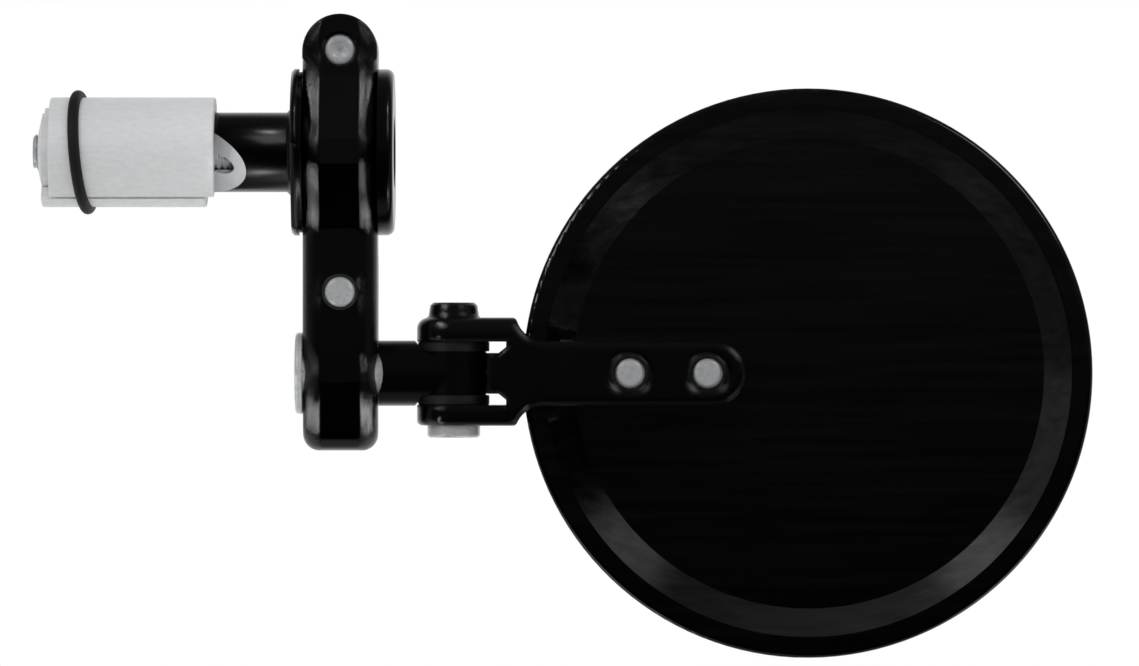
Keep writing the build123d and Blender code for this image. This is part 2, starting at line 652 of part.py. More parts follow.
def mirror_glass():
    edge = RECESS_RADIUS - GLASS_EDGE_GAP
    front = GLASS_BACK + GLASS_THICKNESS
    crown = front + GLASS_SAG
    curve = (edge**2 + GLASS_SAG**2) / (2 * GLASS_SAG)
    outline = Polyline((crown, 0), (GLASS_BACK, 0), (GLASS_BACK, edge), (front, edge))
    outline += RadiusArc((front, edge), (crown, 0), curve)
    blank = revolve(make_face(outline), Axis.X)
    return along((HEAD_PLACE, 0, LOWER_AXIS), (0, 1, 0)) * blank


PIECES = {
    "bar_stem": bar_stem(),
    "wedge_nut": wedge_nut(),
    "draw_bolt": draw_bolt(),
    "sleeve_front_half": sleeve_half(FRONT_HALF_SPAN, 1),
    "sleeve_rear_half": sleeve_half(REAR_HALF_SPAN, -1),
    "sleeve_ring": sleeve_ring(),
    "hub_cap": hub_cap(),
    "swing_arm": swing_arm(),
    "hub_pinch_screw": hub_pinch_screw(),
    "stalk_pinch_screw": pinch_screw(STALK_PINCH_HEIGHT, STALK_TIP_INSET),
    "pivot_pin": pivot_pin(),
    "mirror_stalk": mirror_stalk(),
    "upper_washer": knuckle_washer(1),
    "lower_washer": knuckle_washer(-1),
    "mirror_bracket": mirror_bracket(),
    "knuckle_bolt": knuckle_bolt(),
    "mirror_screws": mirror_screws(),
    "mirror_housing": mirror_housing(),
    "glass_pad": glass_pad(),
    "mirror_glass": mirror_glass(),
}

os.makedirs("parts", exist_ok=True)
for name, piece in PIECES.items():
    export_step(piece, f"parts/{name}.step")
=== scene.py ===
"""Looks of a motorcycle bar end mirror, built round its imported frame.

The frame is in metres: +X points outboard along the handlebar, +Z is up and the glass faces +Y.
Sizes in this file are real millimetres, turned into metres by the constant MM.
"""

from __future__ import annotations

import json
import logging
import math
from dataclasses import dataclass, field, replace
from enum import Enum

import bmesh
import bpy
from mathutils import Matrix, Vector

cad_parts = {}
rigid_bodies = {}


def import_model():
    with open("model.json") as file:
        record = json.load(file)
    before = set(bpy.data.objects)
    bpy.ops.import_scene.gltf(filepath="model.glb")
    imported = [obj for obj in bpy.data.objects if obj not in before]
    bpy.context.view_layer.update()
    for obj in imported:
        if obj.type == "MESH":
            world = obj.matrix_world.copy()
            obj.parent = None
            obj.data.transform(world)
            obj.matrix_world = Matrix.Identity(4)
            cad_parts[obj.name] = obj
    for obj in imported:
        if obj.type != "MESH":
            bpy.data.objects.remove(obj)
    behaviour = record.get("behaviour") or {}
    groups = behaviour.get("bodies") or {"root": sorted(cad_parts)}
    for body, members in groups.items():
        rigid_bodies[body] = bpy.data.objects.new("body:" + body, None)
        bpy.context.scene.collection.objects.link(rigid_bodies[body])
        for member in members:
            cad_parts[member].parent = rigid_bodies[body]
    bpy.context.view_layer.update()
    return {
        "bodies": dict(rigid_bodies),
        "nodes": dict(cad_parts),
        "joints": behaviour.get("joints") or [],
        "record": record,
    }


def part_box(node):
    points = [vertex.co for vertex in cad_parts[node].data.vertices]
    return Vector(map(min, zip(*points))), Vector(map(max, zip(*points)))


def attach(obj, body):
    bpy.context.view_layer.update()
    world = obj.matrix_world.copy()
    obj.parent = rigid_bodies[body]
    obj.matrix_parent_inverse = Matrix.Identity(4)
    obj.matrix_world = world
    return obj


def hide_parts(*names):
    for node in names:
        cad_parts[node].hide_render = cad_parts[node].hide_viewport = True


LOG = logging.getLogger("bar_end_mirror")
MM = 0.001
WHITE = (1.0, 1.0, 1.0, 1.0)
# Points closer than this are one, and edges sharper than this stay sharp
MERGE_MM = 0.001
SHARP_DEG = 28.0
# The part of a noise pattern's range that its patches fill
PATCH_RANGE = (0.3, 0.7)
PATCH_DETAIL = 4.0
PATCH_SOFTNESS = 0.6
GRAIN_DETAIL = 2.0
# The shader's level at which a surface reflects all that its index gives
FULL_GLOSS = 0.5
# Few samples scatter a worn edge's normals, as its fine facets do, and spread its lights
EDGE_SAMPLES = 4
# A mix node's sockets share their names, so these are their numbers for colours and for plain values
COLOUR_A = 6
COLOUR_B = 7
COLOUR_OUT = 2
VALUE_A = 2
VALUE_B = 3
# A wave texture of scale 1 has a ring every tau / 20 of its coordinates
WAVE_UNIT = math.tau / 20
# Threads: shares of the pitch where the crest ends and the root starts, and half a pitch
THREAD_CREST = 0.06
THREAD_ROOT = 0.42
HALF_PITCH = 0.5
# Angle that one side of a hexagon takes up
HEX_SIDE = math.pi / 3
# Share of a snoot's beam that fades towards its edge
SNOOT_BLEND = 0.5
# Points that the lamps are turned to: the whole object, the arm's hub, its foot and the wedge's slot
MIDDLE_MM = (36.0, 0.0, -24.0)
HUB_MM = (6.4, -7.0, 0.0)
FOOT_MM = (6.4, -4.0, -34.0)
SLOT_MM = (-8.4, -2.5, -1.9)


class LampKind(Enum):
    """The kinds of studio lamp, as Blender names them."""

    SOFTBOX = "AREA"
    SNOOTED = "SPOT"


def linear_colour(hex_code: str) -> tuple[float, float, float, float]:
    """Turns an sRGB hex value into a linear colour.

    Args:
        hex_code: Six hex digits, with or without a leading mark.

    Returns:
        Red, green, blue and an alpha of one, in linear light.
    """
    digits = hex_code.lstrip("#")
    channels = [int(digits[i : i + 2], 16) / 255 for i in (0, 2, 4)]
    red, green, blue = [c / 12.92 if c <= 0.04045 else ((c + 0.055) / 1.055) ** 2.4 for c in channels]
    return red, green, blue, 1.0


def add_node(
    tree: bpy.types.NodeTree, kind: str, inputs: dict | None = None, **settings: object
) -> bpy.types.Node:
    """Adds one node with its settings, values and links.

    Args:
        tree: The node tree that gets the node.
        kind: Blender's name for the kind of node.
        inputs: Input sockets by name or number, each with a value or a socket to link from.
        **settings: Attributes set on the node itself.

    Returns:
        The new node.
    """
    node = tree.nodes.new(kind)
    for name, value in settings.items():
        setattr(node, name, value)
    for key, value in (inputs or {}).items():
        if isinstance(value, bpy.types.NodeSocket):
            tree.links.new(value, node.inputs[key])
        else:
            node.inputs[key].default_value = value
    return node


def new_rule(
    name: str, inputs: dict[str, str]
) -> tuple[bpy.types.NodeTree, dict[str, bpy.types.NodeSocket]]:
    """Starts a Geometry Nodes tree that has named inputs and gives out one geometry.

    Args:
        name: The tree's name.
        inputs: The kind of socket for each named input.

    Returns:
        The tree, and its inputs as sockets to link from.
    """
    tree = bpy.data.node_groups.new(name, "GeometryNodeTree")
    for label, kind in inputs.items():
        tree.interface.new_socket(label, in_out="INPUT", socket_type=kind)
    tree.interface.new_socket("Geometry", in_out="OUTPUT", socket_type="NodeSocketGeometry")
    source = add_node(tree, "NodeGroupInput")
    return tree, {label: source.outputs[label] for label in inputs}


def bake_rule(obj: bpy.types.Object, tree: bpy.types.NodeTree, values: dict[str, object]) -> None:
    """Runs a Geometry Nodes tree on an object once and keeps the result as a plain mesh.

    Args:
        obj: The object whose mesh is replaced.
        tree: The tree to run.
        values: A value for each of its named inputs.
    """
    modifier = obj.modifiers.new(tree.name, "NODES")
    modifier.node_group = tree
    for item in tree.interface.items_tree:
        if item.in_out == "INPUT" and item.name in values:
            modifier[item.identifier] = values[item.name]
    bpy.context.view_layer.update()
    graph = bpy.context.evaluated_depsgraph_get()
    baked = bpy.data.meshes.new_from_object(obj.evaluated_get(graph), depsgraph=graph)
    obj.modifiers.remove(modifier)
    obj.data = baked


def new_object(name: str, mesh: bpy.types.Mesh) -> bpy.types.Object:
    """Puts a mesh into the scene, at the frame's origin.

    Args:
        name: The object's name.
        mesh: Its mesh.

    Returns:
        The new object.
    """
    obj = bpy.data.objects.new(name, mesh)
    bpy.context.scene.collection.objects.link(obj)
    return obj


def loft(name: str, loops: list[list[Vector]], ring: bool = False) -> bpy.types.Object:
    """Joins closed loops of points into one closed solid.

    Args:
        name: The object's name.
        loops: The loops in order, all with the same number of points, in millimetres.
        ring: Whether the last loop joins the first, instead of a flat face at each end.

    Returns:
        The new object.
    """
    shape = bmesh.new()
    rows = [[shape.verts.new(point * MM) for point in loop] for loop in loops]
    sides = len(loops[0])
    following = rows[1:] + rows[:1] if ring else rows[1:]
    for first, second in zip(rows, following):
        for i in range(sides):
            j = (i + 1) % sides
            shape.faces.new((first[i], first[j], second[j], second[i]))
    if not ring:
        shape.faces.new(rows[0])
        shape.faces.new(rows[-1])
    bmesh.ops.recalc_face_normals(shape, faces=shape.faces)
    mesh = bpy.data.meshes.new(name)
    shape.to_mesh(mesh)
    shape.free()
    return new_object(name, mesh)


def crisp(mesh: bpy.types.Mesh) -> None:
    """Shades a mesh smooth, but leaves its real edges sharp.

    Args:
        mesh: The mesh to shade.
    """
    mesh.shade_smooth()
    mesh.set_sharp_from_angle(angle=math.radians(SHARP_DEG))


@dataclass(frozen=True)
class Grain:
    """A fine random relief, such as blasting or moulding leaves.

    Attributes:
        size_mm: Width of one grain.
        height_mm: Height of the relief.
        strength: How much of that height shows.
    """

    size_mm: float
    height_mm: float
    strength: float


@dataclass(frozen=True)
class ToolMarks:
    """Rings that a lathe tool leaves round the handlebar's axis.

    Attributes:
        pitch_mm: Distance from one ring to the next.
        height_mm: Height of a ring.
        strength: How much of that height shows.
    """

    pitch_mm: float
    height_mm: float
    strength: float


@dataclass(frozen=True)
class WornEdges:
    """Edges that tumbling has rounded, in shading alone.

    Attributes:
        radius_mm: How far in from an edge the surface is rounded.
        middle_mm: Where the piece's middle lies along X.
        onset_mm: How far from that middle the wear starts and is full, or none where it is everywhere.
    """

    radius_mm: float
    middle_mm: float = 0.0
    onset_mm: tuple[float, float] | None = None

    def normal(self, tree: bpy.types.NodeTree, place: bpy.types.NodeSocket) -> bpy.types.NodeSocket:
        """Adds the rounding.

        Args:
            tree: The material's node tree.
            place: Object coordinates.

        Returns:
            The rounded surface's normal.
        """
        radius = self.radius_mm * MM
        if self.onset_mm is not None:
            along = add_node(tree, "ShaderNodeSeparateXYZ", {"Vector": place}).outputs["X"]
            aside = add_node(tree, "ShaderNodeMath", {0: along, 1: self.middle_mm * MM}, operation="SUBTRACT")
            away = add_node(tree, "ShaderNodeMath", {0: aside.outputs[0]}, operation="ABSOLUTE").outputs[0]
            start, full = (value * MM for value in self.onset_mm)
            radius = add_node(
                tree,
                "ShaderNodeMapRange",
                {"Value": away, "From Min": start, "From Max": full, "To Min": 0.0, "To Max": radius},
            ).outputs["Result"]
        return add_node(tree, "ShaderNodeBevel", {"Radius": radius}, samples=EDGE_SAMPLES).outputs["Normal"]


@dataclass(frozen=True)
class Finish:
    """One surface finish, as a procedural material.

    Attributes:
        name: The material's name.
        colour: Main colour, as an sRGB hex value.
        patch_colour: Colour of its faint patches, as an sRGB hex value.
        patch_mm: Width of the patches.
        metallic: 1 for polished metal, less where blasting or plating scatters the light, 0 for the rest.
        roughness: Smoothest and roughest the surface gets.
        ior: Refractive index of the clear part of the surface.
        grain: Fine random relief.
        marks: Lathe rings, where the piece was turned.
        coat: Weight of a clear coat.
        stretch: How far the patches are drawn out along each axis, or none where they are round.
        gloss: Least and most that the patches reflect, as shares of what the index gives, or none for all.
        edges: How far the edges are worn round, or none where they stay as they were cut.
    """

    name: str
    colour: str
    patch_colour: str
    patch_mm: float
    metallic: float
    roughness: tuple[float, float]
    grain: Grain
    ior: float = 1.5
    marks: ToolMarks | None = None
    coat: float = 0.0
    stretch: tuple[float, float, float] | None = None
    gloss: tuple[float, float] | None = None
    edges: WornEdges | None = None

    def material(self) -> bpy.types.Material:
        """Builds the material, or returns the one built before.

        Returns:
            The material with its node tree.
        """
        found = bpy.data.materials.get(self.name)
        if found:
            return found
        material = bpy.data.materials.new(self.name)
        material.use_nodes = True
        tree = material.node_tree
        tree.nodes.clear()
        place = add_node(tree, "ShaderNodeTexCoord").outputs["Object"]
        drawn = place
        if self.stretch is not None:
            shares = tuple(1 / s for s in self.stretch)
            drawn = add_node(
                tree, "ShaderNodeMapping", {"Vector": place, "Scale": shares}
            ).outputs["Vector"]
        patches = add_node(
            tree,
            "ShaderNodeTexNoise",
            {
                "Vector": drawn,
                "Scale": 1 / (self.patch_mm * MM),
                "Detail": PATCH_DETAIL,
                "Roughness": PATCH_SOFTNESS,
            },
        ).outputs["Fac"]
        colour = add_node(
            tree,
            "ShaderNodeMix",
            {
                "Factor": patches,
                COLOUR_A: linear_colour(self.colour),
                COLOUR_B: linear_colour(self.patch_colour),
            },
            data_type="RGBA",
        ).outputs[COLOUR_OUT]
        ends = {"Roughness": self.roughness}
        if self.gloss is not None:
            ends["Specular IOR Level"] = tuple(FULL_GLOSS * share for share in self.gloss)
        patchy = {}
        for socket, (least, most) in ends.items():
            patchy[socket] = add_node(
                tree,
                "ShaderNodeMapRange",
                {
                    "Value": patches,
                    "From Min": PATCH_RANGE[0],
                    "From Max": PATCH_RANGE[1],
                    "To Min": least,
                    "To Max": most,
                },
            ).outputs["Result"]
        shader = add_node(
            tree,
            "ShaderNodeBsdfPrincipled",
            {
                "Base Color": colour,
                "Metallic": self.metallic,
                "IOR": self.ior,
                "Coat Weight": self.coat,
                "Coat Roughness": self.roughness[0],
                "Normal": self.relief(tree, place),
                **patchy,
            },
        )
        add_node(tree, "ShaderNodeOutputMaterial", {"Surface": shader.outputs["BSDF"]})
        return material

    def relief(self, tree: bpy.types.NodeTree, place: bpy.types.NodeSocket) -> bpy.types.NodeSocket:
        """Adds the worn edges, the grain and any lathe rings.

        Args:
            tree: The material's node tree.
            place: Object coordinates.

        Returns:
            The normal for the shader.
        """
        grain = add_node(
            tree,
            "ShaderNodeTexNoise",
            {"Vector": place, "Scale": 1 / (self.grain.size_mm * MM), "Detail": GRAIN_DETAIL},
        )
        bump = add_node(
            tree,
            "ShaderNodeBump",
            {
                "Strength": self.grain.strength,
                "Distance": self.grain.height_mm * MM,
                "Height": grain.outputs["Fac"],
            },
        )
        if self.edges is not None:
            tree.links.new(self.edges.normal(tree, place), bump.inputs["Normal"])
        normal = bump.outputs["Normal"]
        if self.marks is None:
            return normal
        rings = add_node(
            tree,
            "ShaderNodeTexWave",
            {"Vector": place, "Scale": WAVE_UNIT / (self.marks.pitch_mm * MM), "Distortion": 0.0},
            wave_type="RINGS",
            rings_direction="X",
        )
        return add_node(
            tree,
            "ShaderNodeBump",
            {
                "Strength": self.marks.strength,
                "Distance": self.marks.height_mm * MM,
                "Height": rings.outputs["Fac"],
                "Normal": normal,
            },
        ).outputs["Normal"]


# Grains and tool marks finer than a pixel are drawn two or three times as coarse as real, so that they show

# Black anodised aluminium: a dense dyed skin on a milled surface, dark and glossy with slightly soft edges
MILLED_BLACK = Finish(
    name="milled_black_anodise",
    colour="#000001",
    patch_colour="#010102",
    patch_mm=5.0,
    metallic=0.0,
    roughness=(0.1, 0.15),
    grain=Grain(size_mm=0.2, height_mm=0.004, strength=0.25),
    ior=1.7,
    edges=WornEdges(1.2),
)
# The same skin on the arm, tumbled for longer: long edges that carry broad soft lights, and sharp holes
TUMBLED_BLACK = replace(
    MILLED_BLACK,
    name="tumbled_black_anodise",
    edges=WornEdges(3.1, middle_mm=6.4, onset_mm=(2.3, 2.8)),
)
# The same skin on turned pieces, where the tool's rings draw the light out into a ring
TURNED_BLACK = Finish(
    name="turned_black_anodise",
    colour="#010102",
    patch_colour="#020203",
    patch_mm=9.0,
    metallic=0.0,
    roughness=(0.18, 0.24),
    grain=Grain(size_mm=0.2, height_mm=0.003, strength=0.2),
    ior=1.38,
    marks=ToolMarks(pitch_mm=0.22, height_mm=0.002, strength=0.06),
)
# The same skin on the round back, rolled stock underneath: faint streaks run across the flat
FACED_BLACK = Finish(
    name="faced_black_anodise",
    colour="#000001",
    patch_colour="#020203",
    patch_mm=1.2,
    metallic=0.0,
    roughness=(0.1, 0.16),
    grain=Grain(size_mm=0.2, height_mm=0.003, strength=0.2),
    ior=1.7,
    stretch=(22.0, 1.0, 1.0),
    gloss=(0.7, 1.2),
)
# Bare aluminium, turned and then blasted: pale grey that scatters most of the light, with a soft sheen
SATIN_ALUMINIUM = Finish(
    name="satin_aluminium",
    colour="#F0F1F2",
    patch_colour="#D0D2D4",
    patch_mm=0.5,
    metallic=0.35,
    roughness=(0.5, 0.66),
    grain=Grain(size_mm=0.14, height_mm=0.01, strength=0.45),
    marks=ToolMarks(pitch_mm=0.25, height_mm=0.003, strength=0.15),
    stretch=(2.5, 1.0, 1.0),
)
# The wedge's working face, machined after the dye: bare aluminium, flat and pale
BARE_FACE = Finish(
    name="bare_machined_face",
    colour="#CBCCCE",
    patch_colour="#BBBCBF",
    patch_mm=1.5,
    metallic=0.45,
    roughness=(0.5, 0.6),
    grain=Grain(size_mm=0.1, height_mm=0.004, strength=0.3),
)
# Zinc plated steel: pale grey, slightly blue, with duller patches, fine plating grain and worn edges
ZINC_STEEL = Finish(
    name="zinc_plated_steel",
    colour="#ECEEF0",
    patch_colour="#A4A6A9",
    patch_mm=0.6,
    metallic=0.6,
    roughness=(0.26, 0.4),
    grain=Grain(size_mm=0.16, height_mm=0.012, strength=0.5),
    edges=WornEdges(0.4),
)
# Moulded nitrile rubber: near black, dull, with a very fine grain
RING_RUBBER = Finish(
    name="nitrile_rubber",
    colour="#0E0E0F",
    patch_colour="#161617",
    patch_mm=1.0,
    metallic=0.0,
    roughness=(0.55, 0.7),
    grain=Grain(size_mm=0.08, height_mm=0.006, strength=0.4),
)
# Moulded black nylon: dull black with a faint moulded grain
WASHER_NYLON = Finish(
    name="moulded_nylon",
    colour="#0B0B0C",
    patch_colour="#111112",
    patch_mm=2.0,
    metallic=0.0,
    roughness=(0.4, 0.5),
    grain=Grain(size_mm=0.1, height_mm=0.004, strength=0.3),
)
# Adhesive foam: dull dark grey with open cells
PAD_FOAM = Finish(
    name="adhesive_foam",
    colour="#222223",
    patch_colour="#2E2E2F",
    patch_mm=1.0,
    metallic=0.0,
    roughness=(0.85, 0.95),
    grain=Grain(size_mm=0.3, height_mm=0.05, strength=0.6),
)
# Silvered glass: a clear, almost perfect mirror with a faint cool tint
SILVERED_GLASS = Finish(
    name="silvered_mirror",
    colour="#E3E7E8",
    patch_colour="#E0E4E6",
    patch_mm=20.0,
    metallic=0.9,
    roughness=(0.02, 0.03),
    grain=Grain(size_mm=8.0, height_mm=0.001, strength=0.02),
    coat=1.0,
)


def dress(frame: dict, node: str, finish: Finish) -> None:
    """Gives a CAD node its finish.

    Args:
        frame: The loaded frame.
        node: The node's name.
        finish: The finish of its whole surface.
    """
    obj = frame["nodes"][node]
    obj.data.materials.clear()
    obj.data.materials.append(finish.material())
    LOG.info("%s wears %s", node, finish.name)


def thread_rule() -> bpy.types.NodeTree:
    """Makes the rule that cuts a screw thread into a shank that lies along +X.

    Returns:
        The tree. Its inputs are the shank, where the thread starts and ends, its pitch, depth and finish.
    """
    tree, given = new_rule(
        "cut_thread",
        {
            "Shank": "NodeSocketGeometry",
            "Start": "NodeSocketFloat",
            "End": "NodeSocketFloat",
            "Pitch": "NodeSocketFloat",
            "Depth": "NodeSocketFloat",
            "Finish": "NodeSocketMaterial",
        },
    )
    place = add_node(tree, "GeometryNodeInputPosition").outputs["Position"]
    parts = add_node(tree, "ShaderNodeSeparateXYZ", {"Vector": place}).outputs
    angle = add_node(
        tree, "ShaderNodeMath", {0: parts["Z"], 1: parts["Y"]}, operation="ARCTAN2"
    ).outputs[0]
    turn = add_node(tree, "ShaderNodeMath", {0: angle, 1: math.tau}, operation="DIVIDE").outputs[0]
    travel = add_node(
        tree, "ShaderNodeMath", {0: parts["X"], 1: given["Pitch"]}, operation="DIVIDE"
    ).outputs[0]
    phase = add_node(tree, "ShaderNodeMath", {0: travel, 1: turn}, operation="SUBTRACT").outputs[0]
    flank = add_node(tree, "ShaderNodeMath", {0: phase, 1: HALF_PITCH}, operation="PINGPONG").outputs[0]
    cut = add_node(
        tree,
        "ShaderNodeMapRange",
        {
            "Value": flank,
            "From Min": THREAD_CREST,
            "From Max": THREAD_ROOT,
            "To Min": 0.0,
            "To Max": given["Depth"],
        },
    ).outputs["Result"]
    across = add_node(tree, "ShaderNodeCombineXYZ", {"Y": parts["Y"], "Z": parts["Z"]}).outputs["Vector"]
    outward = add_node(tree, "ShaderNodeVectorMath", {0: across}, operation="NORMALIZE").outputs["Vector"]
    step = add_node(
        tree, "ShaderNodeVectorMath", {0: outward, "Scale": cut}, operation="SCALE"
    ).outputs["Vector"]
    moved = add_node(
        tree, "ShaderNodeVectorMath", {0: place, 1: step}, operation="SUBTRACT"
    ).outputs["Vector"]
    after = add_node(
        tree, "FunctionNodeCompare", {0: parts["X"], 1: given["Start"]}, operation="GREATER_THAN"
    ).outputs[0]
    before = add_node(
        tree, "FunctionNodeCompare", {0: parts["X"], 1: given["End"]}, operation="LESS_THAN"
    ).outputs[0]
    threaded = add_node(tree, "FunctionNodeBooleanMath", {0: after, 1: before}, operation="AND").outputs[0]
    shaped = add_node(
        tree,
        "GeometryNodeSetPosition",
        {"Geometry": given["Shank"], "Selection": threaded, "Position": moved},
    ).outputs["Geometry"]
    solid = add_node(tree, "GeometryNodeRealizeInstances", {"Geometry": shaped}).outputs["Geometry"]
    dressed = add_node(
        tree, "GeometryNodeSetMaterial", {"Geometry": solid, "Material": given["Finish"]}
    ).outputs["Geometry"]
    add_node(tree, "NodeGroupOutput", {"Geometry": dressed})
    return tree


def row_rule() -> bpy.types.NodeTree:
    """Makes the rule that sets copies of one screw in a straight row.

    Returns:
        The tree. Its inputs are the screw, the count, the first and last seat, the turn and the finish.
    """
    tree, given = new_rule(
        "screw_row",
        {
            "Screw": "NodeSocketObject",
            "Count": "NodeSocketInt",
            "First": "NodeSocketVector",
            "Last": "NodeSocketVector",
            "Turn": "NodeSocketVector",
            "Finish": "NodeSocketMaterial",
        },
    )
    seats = add_node(
        tree,
        "GeometryNodeMeshLine",
        {"Count": given["Count"], "Start Location": given["First"], "Offset": given["Last"]},
        mode="END_POINTS",
    ).outputs["Mesh"]
    screw = add_node(tree, "GeometryNodeObjectInfo", {"Object": given["Screw"]}).outputs["Geometry"]
    turn = add_node(tree, "FunctionNodeEulerToRotation", {"Euler": given["Turn"]}).outputs["Rotation"]
    row = add_node(
        tree, "GeometryNodeInstanceOnPoints", {"Points": seats, "Instance": screw, "Rotation": turn}
    ).outputs["Instances"]
    solid = add_node(tree, "GeometryNodeRealizeInstances", {"Geometry": row}).outputs["Geometry"]
    dressed = add_node(
        tree, "GeometryNodeSetMaterial", {"Geometry": solid, "Material": given["Finish"]}
    ).outputs["Geometry"]
    add_node(tree, "NodeGroupOutput", {"Geometry": dressed})
    return tree


@dataclass(frozen=True)
class SocketScrew:
    """A machine screw with a round head, a hexagon socket and a cut thread, in millimetres.

    Attributes:
        head_radius: Radius of the head.
        head_height: Height of the head above its seat.
        shank_radius: Radius over the thread.
        length: From the seat to the tip.
        pitch: Of the thread.
        hex_width: Across the flats of the socket.
        hex_depth: Depth of the socket.
        head_edge: Rounding of the head's rim.
        tip_chamfer: Chamfer at the tip.
        plain_length: Length under the head without a thread.
        sides: Faces round the screw.
        steps_per_pitch: Rings of faces in one turn of the thread.
        depth_per_pitch: Depth of the thread, as a share of its pitch.
        head_steps: Faces across the rounding of the head's rim.
    """

    head_radius: float
    head_height: float
    shank_radius: float
    length: float
    pitch: float
    hex_width: float
    hex_depth: float
    head_edge: float
    tip_chamfer: float
    plain_length: float
    sides: int = 48
    steps_per_pitch: int = 8
    depth_per_pitch: float = 0.6
    head_steps: int = 5

    def rings(self) -> list[tuple[float, float, float]]:
        """Lists the screw's rings from the socket's floor to the tip.

        Returns:
            For each ring its place along the screw, its radius, and the radius's share that is hexagonal.
        """
        top = -self.head_height
        flat = self.hex_width / 2
        found = [(top + self.hex_depth, flat, 1.0), (top, flat, 1.0)]
        for i in range(self.head_steps + 1):
            bend = math.pi / 2 * i / self.head_steps
            drop = self.head_edge * (1 - math.cos(bend))
            inset = self.head_edge * (1 - math.sin(bend))
            found.append((top + drop, self.head_radius - inset, 0.0))
        found.append((0.0, self.head_radius, 0.0))
        found.append((0.0, self.shank_radius, 0.0))
        end = self.length - self.tip_chamfer
        count = math.ceil(end / self.pitch * self.steps_per_pitch)
        found.extend((end * (i + 1) / count, self.shank_radius, 0.0) for i in range(count))
        found.append((self.length, self.shank_radius - self.tip_chamfer, 0.0))
        return found

    def blank(self, name: str) -> bpy.types.Object:
        """Builds the screw before its thread is cut, along +X with its seat at the origin.

        Args:
            name: The object's name.

        Returns:
            The blank.
        """
        loops = []
        for along, radius, share in self.rings():
            loop = []
            for i in range(self.sides):
                angle = math.tau * i / self.sides
                corner = math.cos((angle + HEX_SIDE / 2) % HEX_SIDE - HEX_SIDE / 2)
                reach = radius * (share / corner + 1 - share)
                loop.append(Vector((along, reach * math.cos(angle), reach * math.sin(angle))))
            loops.append(loop)
        return loft(name, loops)

    def build(self, name: str, finish: Finish) -> bpy.types.Object:
        """Builds the screw with its thread.

        Args:
            name: The object's name.
            finish: The screw's finish.

        Returns:
            The screw, along +X with its seat at the origin.
        """
        screw = self.blank(name)
        bake_rule(
            screw,
            thread_rule(),
            {
                "Start": self.plain_length * MM,
                "End": (self.length - self.tip_chamfer / 2) * MM,
                "Pitch": self.pitch * MM,
                "Depth": self.depth_per_pitch * self.pitch * MM,
                "Finish": finish.material(),
            },
        )
        crisp(screw.data)
        return screw


@dataclass
class BarPlug:
    """The plug that spreads inside the end of the bar, with its flange and cap.

    Attributes:
        body: The CAD body that it rides on.
        wedge_normal: The way that the stem's oblique face looks.
        wedge_spread: How closely a face has to look that way to belong to it.
        stem_core_mm: Faces nearer to the axis than this are walls of the bolt's hole and slot.
        flange_mm: Faces beyond this plane belong to the flange and the journal.
        bolt: The bolt's sizes that the frame's box doesn't give.
    """

    body: str = "bar_anchor"
    wedge_normal: tuple[float, float, float] = (-0.5, -0.75, -0.433)
    wedge_spread: float = 0.98
    stem_core_mm: float = 5.0
    flange_mm: float = -1.0
    bolt: SocketScrew = SocketScrew(
        head_radius=4.25,
        head_height=4.0,
        shank_radius=2.5,
        length=40.0,
        pitch=0.8,
        hex_width=4.0,
        hex_depth=2.5,
        head_edge=0.35,
        tip_chamfer=0.4,
        plain_length=8.0,
    )

    def build(self, frame: dict) -> None:
        """Builds the stem with its bare wedge face, and the threaded bolt."""
        self.build_stem(frame)
        self.build_bolt()

    def build_stem(self, frame: dict) -> None:
        """Builds a stem whose wedge face and hole were machined after the dye.

        Args:
            frame: The loaded frame.
        """
        node = frame["nodes"]["bar_stem"]
        shape = bmesh.new()
        shape.from_mesh(node.data)
        shape.transform(node.matrix_world)
        bmesh.ops.remove_doubles(shape, verts=shape.verts, dist=MERGE_MM * MM)
        shape.normal_update()
        wedge = Vector(self.wedge_normal).normalized()
        for face in shape.faces:
            middle = face.calc_center_median() / MM
            inner = math.hypot(middle.y, middle.z) < self.stem_core_mm
            bare = face.normal.dot(wedge) > self.wedge_spread or inner
            face.material_index = int(bare and middle.x < self.flange_mm)
        mesh = bpy.data.meshes.new("dressed_stem")
        shape.to_mesh(mesh)
        shape.free()
        mesh.materials.append(TURNED_BLACK.material())
        mesh.materials.append(BARE_FACE.material())
        crisp(mesh)
        stem = new_object("dressed_stem", mesh)
        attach(stem, self.body)
        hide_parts("bar_stem")
        LOG.info("%s built", stem.name)

    def build_bolt(self) -> None:
        """Builds the draw bolt in the place that the frame gives it."""
        low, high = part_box("draw_bolt")
        seat = high.x - self.bolt.head_height * MM
        sized = replace(
            self.bolt,
            head_radius=(high.z - low.z) / 2 / MM,
            length=(seat - low.x) / MM,
        )
        bolt = sized.build("threaded_draw_bolt", ZINC_STEEL)
        bolt.data.transform(Matrix.Translation((seat, 0.0, 0.0)) @ Matrix.Rotation(math.pi, 4, "Z"))
        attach(bolt, self.body)
        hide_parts("draw_bolt")
        LOG.info("%s built", bolt.name)

    def dress(self, frame: dict) -> None:
        """Gives the plug's pieces their finishes.

        Args:
            frame: The loaded frame.
        """
        dress(frame, "hub_cap", TURNED_BLACK)
        dress(frame, "wedge_nut", SATIN_ALUMINIUM)
        dress(frame, "sleeve_front_half", SATIN_ALUMINIUM)
        dress(frame, "sleeve_rear_half", SATIN_ALUMINIUM)
        dress(frame, "sleeve_ring", RING_RUBBER)


